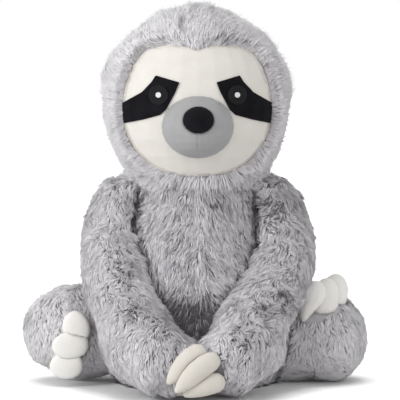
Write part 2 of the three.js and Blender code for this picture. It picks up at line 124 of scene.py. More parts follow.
def settle(obj):
    """Applies the object's modifiers."""
    seen = obj.evaluated_get(bpy.context.evaluated_depsgraph_get())
    made = bpy.data.meshes.new_from_object(seen)
    obj.modifiers.clear()
    obj.data = made
    made.polygons.foreach_set("use_smooth", np.ones(len(made.polygons), bool))
    return obj


def even_copy(node, name, voxel, rounds):
    """A copy of a CAD node's form with an even, smoothed mesh."""
    obj = link(name, frame["nodes"][node].data.copy())
    obj.data.materials.clear()
    remesh = obj.modifiers.new("even", "REMESH")
    remesh.mode = "VOXEL"
    remesh.voxel_size = voxel
    smooth = obj.modifiers.new("smooth", "SMOOTH")
    smooth.factor = SMOOTHING
    smooth.iterations = rounds
    return settle(obj)


def points_of(obj):
    """The object's vertices and their normals."""
    found = []
    for kind in ("co", "normal"):
        values = np.empty(len(obj.data.vertices) * 3, np.float32)
        obj.data.vertices.foreach_get(kind, values)
        found.append(values.reshape(-1, 3).astype(float))
    return found


def move_points(obj, points):
    """Puts the object's vertices at these points."""
    obj.data.vertices.foreach_set("co", points.astype(np.float32).ravel())
    obj.data.update()


def triangles_of(obj):
    """The object's faces as triangles."""
    obj.data.calc_loop_triangles()
    found = np.empty(len(obj.data.loop_triangles) * 3, np.int32)
    obj.data.loop_triangles.foreach_get("vertices", found)
    return found.reshape(-1, 3)


def edges_of(obj):
    """The vertex pairs of the object's edges."""
    found = np.empty(len(obj.data.edges) * 2, np.int32)
    obj.data.edges.foreach_get("vertices", found)
    return found.reshape(-1, 2)


def averaged(values, edges, rounds):
    """The values, each mixed with its neighbours' this many times."""
    count = np.bincount(edges.ravel(), minlength=len(values))[:, None]
    for _ in range(rounds):
        total = np.zeros_like(values)
        np.add.at(total, edges[:, 0], values[edges[:, 1]])
        np.add.at(total, edges[:, 1], values[edges[:, 0]])
        values = (values + total / np.maximum(count, 1)) / 2
    return values


def triangle_mesh(name, points, faces):
    """A smooth-shaded mesh of triangles."""
    mesh = bpy.data.meshes.new(name)
    mesh.vertices.add(len(points))
    mesh.vertices.foreach_set("co", points.astype(np.float32).ravel())
    mesh.loops.add(faces.size)
    mesh.loops.foreach_set("vertex_index", faces.astype(np.int32).ravel())
    mesh.polygons.add(len(faces))
    mesh.polygons.foreach_set("loop_start", np.arange(0, faces.size, 3, dtype=np.int32))
    mesh.polygons.foreach_set("use_smooth", np.ones(len(faces), bool))
    mesh.update(calc_edges=True)
    return mesh


# Places on the CAD solids


def tree_of(node):
    """A search tree of a CAD node's faces."""
    mesh = frame["nodes"][node].data
    corners = [v.co for v in mesh.vertices]
    return BVHTree.FromPolygons(corners, [p.vertices for p in mesh.polygons])


TREES = {n: tree_of(n) for n in frame["nodes"]}


def nearest(points, nodes, reach):
    """For each point, the signed distance to these solids, up to reach, and the place and normal there."""
    distance = np.full(len(points), reach, float)
    place = points.copy()
    normal = np.zeros_like(points)
    for node in nodes:
        low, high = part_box(node)
        near = ((points > np.array(low) - reach) & (points < np.array(high) + reach)).all(1)
        for i in np.nonzero(near)[0]:
            spot, facing, _, gap = TREES[node].find_nearest(points[i], reach)
            if spot is None:
                continue
            signed = gap if (Vector(points[i]) - spot).dot(facing) > 0 else -gap
            if signed < distance[i]:
                distance[i] = signed
                place[i] = spot
                normal[i] = facing
    return distance, place, normal


def middle_of(node):
    """The middle of a CAD node's box."""
    low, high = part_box(node)
    return tuple((a + b) / 2 for a, b in zip(low, high))


def others(node):
    """The furry nodes other than this one."""
    return [n for n in FURRY if n != node]


def creased_with(node):
    """The furry nodes against which this one's pile is pressed into a crease."""
    return [n for n in others(node) if "head" not in (n, node)]


# Materials

WHITE = (1, 1, 1)
NEW_STOP = 0.5
NOISE_DETAIL = 3
SHEEN_ROUGHNESS = 0.5


def new_material(name):
    """A new material, its node tree and its Principled shader."""
    mat = bpy.data.materials.new(name)
    mat.use_nodes = True
    tree = mat.node_tree
    shader = tree.nodes["Principled BSDF"]
    return mat, tree, shader


def ramp(tree, source, stops):
    """A colour ramp on this output, from (place, colour) stops."""
    node = tree.nodes.new("ShaderNodeValToRGB")
    tree.links.new(source, node.inputs["Fac"])
    elements = node.color_ramp.elements
    while len(elements) < len(stops):
        elements.new(NEW_STOP)
    for element, (place, colour) in zip(elements, stops):
        element.position = place
        element.color = (*colour, 1)
    return node.outputs["Color"]


def attribute(tree, name):
    """The value of a vertex attribute."""
    node = tree.nodes.new("ShaderNodeAttribute")
    node.attribute_name = name
    return node.outputs["Fac"]


def multiplied(tree, a, b):
    """The product of two colours."""
    node = tree.nodes.new("ShaderNodeMix")
    node.data_type = "RGBA"
    node.blend_type = "MULTIPLY"
    node.inputs["Factor"].default_value = 1
    tree.links.new(a, node.inputs["A"])
    tree.links.new(b, node.inputs["B"])
    return node.outputs["Result"]


def worked_out(tree, operation, source, number):
    """The result of this operation on an output and a number."""
    node = tree.nodes.new("ShaderNodeMath")
    node.operation = operation
    node.inputs[1].default_value = number
    tree.links.new(source, node.inputs[0])
    return node.outputs["Value"]


def noise(tree, size):
    """A noise whose features are about this many metres wide."""
    place = tree.nodes.new("ShaderNodeTexCoord")
    node = tree.nodes.new("ShaderNodeTexNoise")
    node.inputs["Scale"].default_value = 1 / size
    node.inputs["Detail"].default_value = NOISE_DETAIL
    tree.links.new(place.outputs["Object"], node.inputs["Vector"])
    return node.outputs["Fac"]


def bump(tree, shader, height, depth):
    """Bumps of this depth, from a height of 0 to 1."""
    node = tree.nodes.new("ShaderNodeBump")
    node.inputs["Distance"].default_value = depth
    node.inputs["Strength"].default_value = 1
    tree.links.new(height, node.inputs["Height"])
    tree.links.new(node.outputs["Normal"], shader.inputs["Normal"])


# Cloths by their pile: its width and depth, and how it catches the light
BACKING_PILE = {"width": 0.8 * MM, "depth": 0.5 * MM, "sheen": 0.2, "shine": 0.2}
SHORT_PILE = {"width": 0.45 * MM, "depth": 0.12 * MM, "sheen": 0.15, "shine": 0.2}
VELVET_PILE = {"width": 0.4 * MM, "depth": 0.15 * MM, "sheen": 0.03, "shine": 0.05}
CLOTH_ROUGHNESS = 0.9

# A cloth's patches between its two colours, and the grain of its pile
PATCH_WIDTH = 14 * MM
PATCH_LOW = 0.3
PATCH_HIGH = 0.7
GRAIN_LOW = 0.25
GRAIN_HIGH = 0.75
GRAIN_SHADE = (0.86, 0.86, 0.86)


def cloth_look(name, low, high, pile, seam=WHITE):
    """A cloth between two colours. The mesh's "seam" attribute says how far the seam's colour tints it."""
    # The seam colour is painted shade on the face and at the muzzle's edges, and the stitching's own on the
    # velvet
    mat, tree, shader = new_material(name)
    patches = noise(tree, PATCH_WIDTH)
    fine = noise(tree, pile["width"])
    tone = ramp(tree, patches, [(PATCH_LOW, low), (PATCH_HIGH, high)])
    grain = ramp(tree, fine, [(GRAIN_LOW, GRAIN_SHADE), (GRAIN_HIGH, WHITE)])
    stitched = ramp(tree, attribute(tree, "seam"), [(0, WHITE), (1, seam)])
    colour = multiplied(tree, multiplied(tree, tone, grain), stitched)
    tree.links.new(colour, shader.inputs["Base Color"])
    bump(tree, shader, fine, pile["depth"])
    shader.inputs["Roughness"].default_value = CLOTH_ROUGHNESS
    shader.inputs["Sheen Weight"].default_value = pile["sheen"]
    shader.inputs["Sheen Roughness"].default_value = SHEEN_ROUGHNESS
    shader.inputs["Specular IOR Level"].default_value = pile["shine"]
    return mat


def backing_look():
    """The backing that shows deep between the strands, darkened by painted shade on the body and arms."""
    low, high = (0.24, 0.228, 0.242), (0.32, 0.306, 0.322)
    return cloth_look("painted_shade_backing", low, high, BACKING_PILE)


def painted_light_backing_look():
    """The backing of the head and legs, made paler by painted light."""
    low, high = (0.50, 0.485, 0.503), (0.60, 0.583, 0.603)
    return cloth_look("painted_light_backing", low, high, BACKING_PILE)


def hand_claw_look():
    """The hand claws' cream cloth, made darker by painted shade."""
    low, high = (0.68, 0.645, 0.585), (0.72, 0.685, 0.625)
    return cloth_look("hand_claw_cloth", low, high, SHORT_PILE)


def foot_claw_look():
    """The foot claws' cream cloth, made paler by painted light."""
    low, high = (0.87, 0.85, 0.81), (0.91, 0.89, 0.855)
    return cloth_look("foot_claw_cloth", low, high, SHORT_PILE)


def face_look():
    """The face's cream cloth, with painted shade in the seam round it."""
    low, high = (0.725, 0.70, 0.65), (0.765, 0.74, 0.69)
    return cloth_look("face_cloth", low, high, SHORT_PILE, seam=(0.82, 0.79, 0.77))


def muzzle_look():
    """The muzzle's grey cloth, darker in its seam, with painted shade where it meets the face and nose."""
    low, high = (0.345, 0.345, 0.35), (0.385, 0.385, 0.39)
    return cloth_look("muzzle_cloth", low, high, SHORT_PILE, seam=(0.55, 0.55, 0.56))


def velvet_look():
    """Black velvet, browner along its stitched edge."""
    low, high = (0.006, 0.0055, 0.007), (0.012, 0.011, 0.014)
    return cloth_look("black_velvet", low, high, VELVET_PILE, seam=(1, 0.9, 0.8))


THREAD_ROUGHNESS = 0.6
THREAD_SHINE = 0.15
THREAD_FLATNESS = 3
EYE_RING = 0.9 * MM
GLINT_RING = 0.6 * MM


def thread_look(node, low, high, ring):
    """Thread stitched in rings of this width round the middle of a node."""
    mat, tree, shader = new_material(node)
    place = tree.nodes.new("ShaderNodeTexCoord")
    from_middle = tree.nodes.new("ShaderNodeVectorMath")
    from_middle.operation = "SUBTRACT"
    from_middle.inputs[1].default_value = middle_of(node)
    tree.links.new(place.outputs["Object"], from_middle.inputs[0])
    away = tree.nodes.new("ShaderNodeVectorMath")
    away.operation = "LENGTH"
    tree.links.new(from_middle.outputs["Vector"], away.inputs[0])
    wave = worked_out(tree, "PINGPONG", away.outputs["Value"], ring / 2)
    height = worked_out(tree, "DIVIDE", wave, ring / 2)
    tree.links.new(ramp(tree, height, [(0, low), (1, high)]), shader.inputs["Base Color"])
    bump(tree, shader, height, ring / THREAD_FLATNESS)
    shader.inputs["Roughness"].default_value = THREAD_ROUGHNESS
    shader.inputs["Specular IOR Level"].default_value = THREAD_SHINE
    return mat


def eye_look(side):
    """The near-black thread of an eye's disc."""
    return thread_look(f"eye_{side}", (0.004, 0.004, 0.005), (0.018, 0.018, 0.020), EYE_RING)


def glint_look(side):
    """The white thread of an eye's dot."""
    return thread_look(f"eye_glint_{side}", (0.7, 0.7, 0.7), (0.82, 0.82, 0.82), GLINT_RING)


# A strand's colour from its root to its tip, and the tint from the darkest strands to the palest
# The darker root is painted shade deep in the pile
STRAND_COLOURS = (
    (0, (0.50, 0.487, 0.50)),
    (0.45, (0.885, 0.87, 0.89)),
    (1, (0.97, 0.96, 0.975)),
)
# Painted shade takes strands towards the darkest tints
TINT_COLOURS = (
    (0, (0.11, 0.103, 0.112)),
    (0.25, (0.57, 0.555, 0.573)),
    (0.5, (0.77, 0.757, 0.775)),
    (1, WHITE),
)
FUR_ROUGHNESS = 0.75
FUR_SHEEN = 0.15
FUR_SHINE = 0.25


def fur_look():
    """The strands: darker at the root as painted shade, pale at the tip, with a shade of their own each."""
    mat, tree, shader = new_material("fur")
    length = ramp(tree, attribute(tree, "along"), STRAND_COLOURS)
    # The tint holds the painted light and shade of each strand's place as well as its own tone
    shade = ramp(tree, attribute(tree, "tint"), TINT_COLOURS)
    tree.links.new(multiplied(tree, length, shade), shader.inputs["Base Color"])
    shader.inputs["Roughness"].default_value = FUR_ROUGHNESS
    shader.inputs["Sheen Weight"].default_value = FUR_SHEEN
    shader.inputs["Specular IOR Level"].default_value = FUR_SHINE
    return mat


LOOKS = {
    "fur": fur_look(),
    "backing": backing_look(),
    "painted_light_backing": painted_light_backing_look(),
    "face": face_look(),
    "muzzle": muzzle_look(),
    "hand": hand_claw_look(),
    "foot": foot_claw_look(),
    "velvet": velvet_look(),
}
for side in SIDES:
    LOOKS[f"eye_{side}"] = eye_look(side)
    LOOKS[f"eye_glint_{side}"] = glint_look(side)


def dress(obj, look, node=None):
    """Gives a piece its look and slot, lets it ride its CAD node's body and stand for that node."""
    obj.data.materials.clear()
    obj.data.materials.append(LOOKS[look])
    if node:
        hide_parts(node)
        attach(obj, BODY_OF[node])
    return obj


# Stuffed skins under the fur

# How fine the mesh is and how often it is smoothed
SKIN_MESH = (3 * MM, 6)
NORMAL_ROUNDS = 2
SKIN_ROUNDS = 1

# How deep the skin lies: under free pile, under pressed pile, and at a seam
PILE_DEPTH = 5 * MM
PRESSED_DEPTH = 3.2 * MM
SEAM_DEPTH = 0.6 * MM
TOUCHING = 1.3 * MM
BESIDE_FADE = (TOUCHING, 9 * MM)
SEAM_REACH = 9 * MM
SEAM_FADE = (0.1 * SEAM_REACH, SEAM_REACH)

LUMP_HEIGHT = 0.6 * MM
LUMP_WIDTH = 16 * MM
GROOVE_DEPTH = 2.2 * MM
GROOVE_WIDTH = 2.5 * MM

# Places where the head's outline is less full than a round form: across, up, radius and depth
DENTS = ((-62, 316, 24, 3), (84, 300, 18, 1.8))
DENT_FLAT = 0.2
DENT_MIDDLE = 5 * MM
DENT_FADE = (20 * MM, 60 * MM)


def inset_depths(points, node):
    """How far the skin lies under the tips of the pile: less beside a neighbour, least at a seam."""
    cloth, _, _ = nearest(points, SMOOTH, SEAM_REACH)
    furry, _, _ = nearest(points, NECK.get(node, ()), SEAM_REACH)
    gap = np.minimum(np.abs(cloth), np.abs(furry))
    beside, _, _ = nearest(points, others(node), BESIDE_FADE[1])
    pile = PILE_DEPTH - (PILE_DEPTH - PRESSED_DEPTH) * (1 - fade(beside, *BESIDE_FADE))
    return SEAM_DEPTH + (pile - SEAM_DEPTH) * fade(gap, *SEAM_FADE)


def dents(points, node):
    """How deep the filling gives way in the head."""
    depth = np.zeros(len(points))
    if node != "head":
        return depth
    for across, up, radius, deep in DENTS:
        away = np.hypot(points[:, 0] - across * MM, points[:, 2] - up * MM)
        depth += deep * MM * (1 - fade(away, DENT_FLAT * radius * MM, radius * MM))
    return depth * (1 - fade(np.abs(points[:, 1] + DENT_MIDDLE), *DENT_FADE))


def seam_groove(points, node):
    """How deep the seam down the middle of the chest pulls the backing in."""
    if node != "body":
        return np.zeros(len(points))
    return GROOVE_DEPTH * bell(points[:, 0], GROOVE_WIDTH) * (points[:, 1] < 0)


def stuffed_skin(node):
    """The stuffed backing of a furry node, lumpy as filling makes it, and the pile's shares on it."""
    skin = even_copy(node, node + "_backing", *SKIN_MESH)
    outer, normals = points_of(skin)
    edges = edges_of(skin)
    normals = unit(averaged(normals, edges, NORMAL_ROUNDS))
    lumps = waves(outer, LUMP_HEIGHT, LUMP_WIDTH, SEED + len(node))
    depth = inset_depths(outer, node) - lumps + seam_groove(outer, node) + dents(outer, node)
    inner = averaged(outer - normals * depth[:, None], edges, SKIN_ROUNDS)
    inner[:, 2] = np.maximum(inner[:, 2], FLOOR_GAP)
    move_points(skin, inner)
    dress(skin, COATS[node]["backing"], node)
    return skin, pile_shares(outer, normals, edges, node)


# How the pile stands

# Where a neighbour touches, the pile is pressed flat: thinner, shorter and leaning more
TOUCH_ROUNDS = 3
PRESSED_DENSITY = 0.55
PRESSED_LENGTH = 0.6
PRESSED_LEAN = 0.25

# Beside a neighbour it lies in a crease and is painted darker as shade, though less so where it is pressed
CREASE_FADE = (TOUCHING, 9 * MM)
CREASE_PAINTED_SHADE = 0.38
PRESSED_LIGHT = 0.6

# Where the skin faces a smooth cloth as near as this, it is bare
FACING_REACH = 5 * MM
FACING_SHARE = 0.45


def pile_shares(outer, normals, edges, node):
    """At each point: the pile's density, how far it is pressed flat, and how deep in a crease it lies."""
    furry, _, _ = nearest(outer, others(node), 2 * TOUCHING)
    beside, _, _ = nearest(outer, creased_with(node), CREASE_FADE[1])
    smooth, place, _ = nearest(outer, SMOOTH, FACING_REACH)
    faces_cloth = (unit(place - outer) * normals).sum(1) > FACING_SHARE
    bare = faces_cloth & (smooth < FACING_REACH)
    open_air = (furry > TOUCHING).astype(float)
    for _ in range(TOUCH_ROUNDS):
        reach = open_air.copy()
        np.maximum.at(reach, edges[:, 0], open_air[edges[:, 1]])
        np.maximum.at(reach, edges[:, 1], open_air[edges[:, 0]])
        open_air = reach
    pressed = 1 - open_air
    density = (1 - (1 - PRESSED_DENSITY) * pressed) * ~bare
    depth = (1 - fade(beside, *CREASE_FADE)) * (1 - PRESSED_LIGHT * pressed)
    return np.stack([density, pressed, depth], 1)


# The head: its pile rises from the face's edge all round, and parts at the crown
FACE_RISE = 246.5 * MM
BACKWARDS = np.array((0, 0.5, 0))
DOWN_THE_BACK = np.array((0, 0.1, -1))
BACK_FADE = (10 * MM, 50 * MM)
PARTING_Y = -31 * MM
BROW_RISE = (284 * MM, 292 * MM)
BROW_SIDES = (0, 24 * MM)
BROW_BACK = (PARTING_Y - 2 * MM, PARTING_Y + 2 * MM)
CREST_MIDDLE = 1.5 * MM
CREST_WIDTH = 12 * MM
CREST_SIDES = (0.6 * CREST_WIDTH, CREST_WIDTH)
CREST_FRONT = (PARTING_Y - 1 * MM, PARTING_Y + 3 * MM)
CREST_BACK = (0, 20 * MM)


def brow_share(points):
    """1 over the middle of the brow, in front of the parting at the crown."""
    above = fade(points[:, 2], *BROW_RISE)
    middle = 1 - fade(np.abs(points[:, 0]), *BROW_SIDES)
    front = 1 - fade(points[:, 1], *BROW_BACK)
    return above * middle * front


def crest_share(points):
    """1 in the small tuft that stands up behind the parting."""
    middle = 1 - fade(np.abs(points[:, 0] - CREST_MIDDLE), *CREST_SIDES)
    behind = fade(points[:, 1], *CREST_FRONT) * (1 - fade(points[:, 1], *CREST_BACK))
    return middle * behind * (points[:, 2] > FACE_RISE)


def comb_head(points):
    """Away from the face all round, and down over the back."""
    out = points - np.array((0, 0, FACE_RISE))
    out[:, 1] = 0
    out = unit(out) + BACKWARDS
    back = fade(points[:, 1], *BACK_FADE)[:, None]
    return out * (1 - back) + DOWN_THE_BACK * back


PARTED_SHARE = 0.4
PARTED_WIDTH = 14 * MM


def comb_body(points):
    """Downwards, and away from the seam down the middle."""
    comb = np.zeros_like(points)
    comb[:, 0] = PARTED_SHARE * np.tanh(points[:, 0] / PARTED_WIDTH)
    comb[:, 2] = -1
    return comb


ARM_INWARDS = 0.5
ARM_FORWARDS = 0.15
FOREARM_FADE = (90 * MM, 150 * MM)
WRIST = np.array((40, -78, 76)) * MM
WRIST_FADE = (64 * MM, 84 * MM)
PAW_DROOP = np.array((0, 0, -0.7))


def comb_arm(points):
    """Down the arm and in towards the lap, then out from the wrist over the paw."""
    side = np.sign(points[:, 0].mean())
    inwards = ARM_INWARDS * (1 - fade(points[:, 2], *FOREARM_FADE))
    comb = np.zeros_like(points)
    comb[:, 0] = -side * inwards
    comb[:, 1] = -ARM_FORWARDS
    comb[:, 2] = -1
    paw = 1 - fade(points[:, 2], *WRIST_FADE)[:, None]
    out = unit(points - WRIST * (side, 1, 1)) + PAW_DROOP
    return comb * (1 - paw) + out * paw


LEG_UPWARDS = 0.5
FOOT_DROOP = np.array((0, 0, -0.6))


def comb_leg(points):
    """Out from the hip over the foot and down."""
    out = points - points.mean(0)
    out[:, 2] *= LEG_UPWARDS
    return unit(out) + FOOT_DROOP


# How long and flat the pile is, and its painted light and shade

# Each lie function gives the share of the usual length, the extra lean and the extra shade at each point:
# painted light where it is above 0 and painted shade below.
# Painted shade under the chin, low on the sides and to the right, and painted light on the crown and brow
CHIN_FADE = (182 * MM, 205 * MM)
CHIN_LENGTH = 0.2
CHIN_LEAN = 0.1
CHIN_PAINTED_SHADE = 0.1
BROW_LENGTH = 0.15
BROW_PAINTED_LIGHT = 0.06
CREST_LIFT = 0.6
CROWN_SIDE = (-10 * MM, 10 * MM)
CROWN_FADE = (270 * MM, 300 * MM)
CROWN_PAINTED_LIGHT = 0.1
RIGHT_FADE = (0, 80 * MM)
RIGHT_PAINTED_SHADE = 0.22
CHEEK_FADE = (270 * MM, 310 * MM)
CHEEK_PAINTED_SHADE = 0.12


def lie_head(points):
    """Longer over the brow and under the chin, upright in the crest, with painted light and shade."""
    chin = 1 - fade(points[:, 2], *CHIN_FADE)
    brow, crest = brow_share(points), crest_share(points)
    crown = fade(-points[:, 0], *CROWN_SIDE) * fade(points[:, 2], *CROWN_FADE)
    right = fade(points[:, 0], *RIGHT_FADE)
    cheeks = 1 - fade(points[:, 2], *CHEEK_FADE)
    share = 1 + CHIN_LENGTH * chin + BROW_LENGTH * brow
    # Painted light on the crown and over the brow, painted shade to the right, under the chin and low on
    # the sides
    shade = CROWN_PAINTED_LIGHT * crown - RIGHT_PAINTED_SHADE * right - CHIN_PAINTED_SHADE * chin - CHEEK_PAINTED_SHADE * cheeks
    return share, CHIN_LEAN * chin - CREST_LIFT * crest, shade + BROW_PAINTED_LIGHT * brow


FLOOR_FADE = (10 * MM, 45 * MM)
FLOOR_SHORTER = 0.25
FLOOR_LEAN = 0.1


def lie_limb(points):
    """Shorter and flatter near the floor."""
    low = 1 - fade(points[:, 2], *FLOOR_FADE)
    return 1 - FLOOR_SHORTER * low, FLOOR_LEAN * low, np.zeros(len(points))


# Painted light at the shoulders, on the paws and at the left elbow, and painted shade high on the right arm
PAW_FADE = (50 * MM, 80 * MM)
RIGHT_PAW_PAINTED_LIGHT = 0.2
LEFT_PAW_PAINTED_LIGHT = 0.14
ELBOW_RISE = 118 * MM
ELBOW_WIDTH = 30 * MM
ELBOW_PAINTED_LIGHT = 0.1
UPPER_ARM_FADE = (100 * MM, 150 * MM)
UPPER_ARM_PAINTED_SHADE = 0.06
SHOULDER_FADE = (168 * MM, 182 * MM)
SHOULDER_PAINTED_LIGHT = 0.2


def lie_arm(points):
    """Like any limb, with painted light at the shoulder and on the paw."""
    share, extra, shade = lie_limb(points)
    paw = 1 - fade(points[:, 2], *PAW_FADE)
    # Painted light on the paws and the left elbow, and painted shade high on the right arm
    if points[:, 0].mean() > 0:
        own = RIGHT_PAW_PAINTED_LIGHT * paw - UPPER_ARM_PAINTED_SHADE * fade(points[:, 2], *UPPER_ARM_FADE)
    else:
        own = LEFT_PAW_PAINTED_LIGHT * paw + ELBOW_PAINTED_LIGHT * bell(points[:, 2] - ELBOW_RISE, ELBOW_WIDTH)
    return share, extra, shade + SHOULDER_PAINTED_LIGHT * fade(points[:, 2], *SHOULDER_FADE) + own


# Painted light along the middle of the chest and painted shade low between the arms
CHEST_WIDTH = 7 * MM
CHEST_FADE = (100 * MM, 130 * MM)
CHEST_PAINTED_LIGHT = 0.18
LAP_TOP = (66 * MM, 104 * MM)
LAP_BOTTOM = (30 * MM, 55 * MM)
LAP_SIDES = (22 * MM, 50 * MM)
LAP_PAINTED_SHADE = 0.47


def lie_body(points):
    """Painted light along the middle of the chest and painted shade low between the arms."""
    chest = bell(points[:, 0], CHEST_WIDTH) * fade(points[:, 2], *CHEST_FADE)
    lap = (1 - fade(points[:, 2], *LAP_TOP)) * (points[:, 1] < 0)
    lap *= 1 - fade(np.abs(points[:, 0]), *LAP_SIDES)
    lap *= fade(points[:, 2], *LAP_BOTTOM)
    return np.ones(len(points)), np.zeros(len(points)), CHEST_PAINTED_LIGHT * chest - LAP_PAINTED_SHADE * lap


# Each coat: its backing, its tone and how much its strands differ, the least and the most that tufts and
# locks are drawn together, the skin's area to a strand, how far the pile swirls, and the strands' length
# and lean in degrees. The fur is of one colour: the head's and legs' higher tone and paler backing are
# painted light, and the body's and arms' lower tone and darker backing are painted shade.
HEAD_COAT = {
    "backing": "painted_light_backing",
    "tone": 0.88,
    "spread": 0.4,
    "tuft": (0, 0.15),
    "lock": (0, 0.4),
    "patch": 0.8 * MM**2,
    "swirl": 0.2,
    "length": 13 * MM,
    "lean": 71,
}
BODY_COAT = {
    "backing": "backing",
    "tone": 0.4,
    "spread": 0.9,
    "tuft": (0, 0.4),
    "lock": (0.3, 0.85),
    "patch": 0.85 * MM**2,
    "swirl": 0.3,
    "length": 12 * MM,
    "lean": 67,
}
ARM_COAT = {
    "backing": "backing",
    "tone": 0.48,
    "spread": 0.9,
    "tuft": (0.1, 0.45),
    "lock": (0.3, 0.85),
    "patch": 0.75 * MM**2,
    "swirl": 0.6,
    "length": 10.5 * MM,
    "lean": 62,
}
LEG_COAT = {
    "backing": "painted_light_backing",
    "tone": 0.87,
    "spread": 0.45,
    "tuft": (0.05, 0.3),
    "lock": (0.1, 0.5),
    "patch": 0.9 * MM**2,
    "swirl": 0.45,
    "length": 10.5 * MM,
    "lean": 64,
}
COATS = {
    "body": {"comb": comb_body, "lie": lie_body} | BODY_COAT,
    "head": {"comb": comb_head, "lie": lie_head} | HEAD_COAT,
    "arm_left": {"comb": comb_arm, "lie": lie_arm} | ARM_COAT,
    "arm_right": {"comb": comb_arm, "lie": lie_arm} | ARM_COAT,
    "leg_left": {"comb": comb_leg, "lie": lie_limb} | LEG_COAT,
    "leg_right": {"comb": comb_leg, "lie": lie_limb} | LEG_COAT,
}

# Spots on the front where handling has ruffled the pile: across, up and radius, in millimetres
RUFFLES = (
    (-50, 160, 11),
    (-64, 108, 12),
    (-55, 74, 10),
    (66, 158, 17),
    (50, 172, 9),
    (78, 83, 15),
    (40, 56, 12),
    (60, 72, 11),
)
RUFFLE_MIDDLE = 0.5
# Ruffled spots are painted darker, as the shade between their locks
RUFFLE_PAINTED_SHADE = 0.2


def ruffled(points):
    """How ruffled the pile is at each point, from 0 to 1."""
    share = np.zeros(len(points))
    for across, up, radius in RUFFLES:
        away = np.hypot(points[:, 0] - across * MM, points[:, 2] - up * MM)
        share = np.maximum(share, 1 - fade(away, RUFFLE_MIDDLE * radius * MM, radius * MM))
    return share * (points[:, 1] < 0)


# Spots on the front painted darker, as shade where the pile parts and shows its depth and under the chin's
# fringe: across, up, half width and half height, in millimetres, and how dark
PAINTED_HOLLOWS = {
    "head": (
        (-11.5, 316, 2.4, 10, 0.8),
        (21, 305, 2.5, 6, 0.6),
        (30, 309, 2, 5, 0.45),
        (-2, 330, 5, 1.8, 0.6),
        (11.5, 330, 2, 2.5, 0.6),
    ),
    "body": (
        (-4, 166, 7, 3, 0.35),
        (17, 166, 9, 3, 0.3),
        (8, 123, 2, 6, 0.2),
    ),
}
HOLLOW_FADE = (0.5, 1.3)


def painted_hollow_shade(points, node):
    """How much painted shade of a hollow each point takes."""
    depth = np.zeros(len(points))
    for across, up, wide, high, dark in PAINTED_HOLLOWS.get(node, ()):
        away = np.hypot((points[:, 0] / MM - across) / wide, (points[:, 2] / MM - up) / high)
        depth = np.maximum(depth, dark * (1 - fade(away, *HOLLOW_FADE)))
    return depth * (points[:, 1] < 0)


# Strands

# A strand is a closed spindle with a ring of points at its middle. The spans give each strand a small area
# in the plane of tint and place along, so that its colour can be baked.
STRAND_SIDES = 3
STRAND_RADIUS = 0.33 * MM
RADIUS_SPREAD = (0.75, 1.2)
SHORTEST_STRAND = 3 * MM
MIDDLE_SHARE = 0.42
ROOT_SPAN = 0.02
TIP_SPAN = 0.98
TINT_SPAN = 0.04
SOFTNESS = 0.7
RING_START = np.array((0.31, 0.87, 0.38))

STRANDS_A_PIECE = 30000
STRANDS_A_LOCK = 6
LOCKS_A_TUFT = 9
CHIEF_PULL = (0.6, 1)

# Slow changes over the coat: how strong, how wide and with which seed
BROAD_SWIRL = (0.3, 24 * MM, SEED + 1)
LEAN_WAVES = (0.12, 12 * MM, SEED + 3)
LENGTH_WAVES = (0.08, 15 * MM, SEED + 4)
TINT_WAVES = (0.06, 18 * MM, SEED + 5)

# The fine swirls, whose strength is the coat's, and those in a ruffled spot
FINE_SWIRL = (6 * MM, SEED + 2)
RUFFLE_SWIRL = (5 * MM, SEED + 6)
RUFFLE_STRENGTH = 1.6
RUFFLE_LIFT = 0.3

# How each strand differs from the next: its swirl, lean, length and tint, and the few that stray
SWIRL_SPREAD = 0.16
LEAN_SPREAD = 0.08
LENGTH_SPREAD = (0.75, 1.15)
LOCK_TINT = 0.5
STRAND_TINT = 0.12
STRAY_SHARE = 0.05
STRAY_LIFT = 0.45

# How much less a strand leans below its middle and how much more above, and the least and most lean
LOWER_LIFT = 0.45
LOWER_LEANS = (0.1, 1.4)
UPPER_DROOP = 0.35
UPPER_LEANS = (0.3, 1.6)


def scattered(skin, shares, patch, seed):
    """Random roots on a skin, one a patch, with their normals and the pile's shares there."""
    rng = np.random.default_rng(seed)
    points, normals = points_of(skin)
    faces = triangles_of(skin)
    a, b, c = (points[faces[:, k]] for k in range(3))
    size = np.linalg.norm(np.cross(b - a, c - a), axis=1) / 2 * shares[faces, 0].mean(1)
    count = int(size.sum() / patch)
    picked = rng.choice(len(faces), count, p=size / size.sum())
    mix = rng.dirichlet((1, 1, 1), count)

    def mixed(values):
        return sum(mix[:, k, None] * values[faces[picked, k]] for k in range(3))

    return mixed(points), unit(mixed(normals)), mixed(shares)


def along_skin(directions, normals):
    """The directions laid flat on the skin."""
    return unit(directions - normals * (directions * normals).sum(1)[:, None])


def turned(directions, normals, angles):
    """The directions turned about the normals."""
    side = np.cross(normals, directions)
    return directions * np.cos(angles)[:, None] + side * np.sin(angles)[:, None]


def leaning(normals, comb, angle):
    """Directions that lean by this angle from the normals towards the comb."""
    return normals * np.cos(angle)[:, None] + comb * np.sin(angle)[:, None]


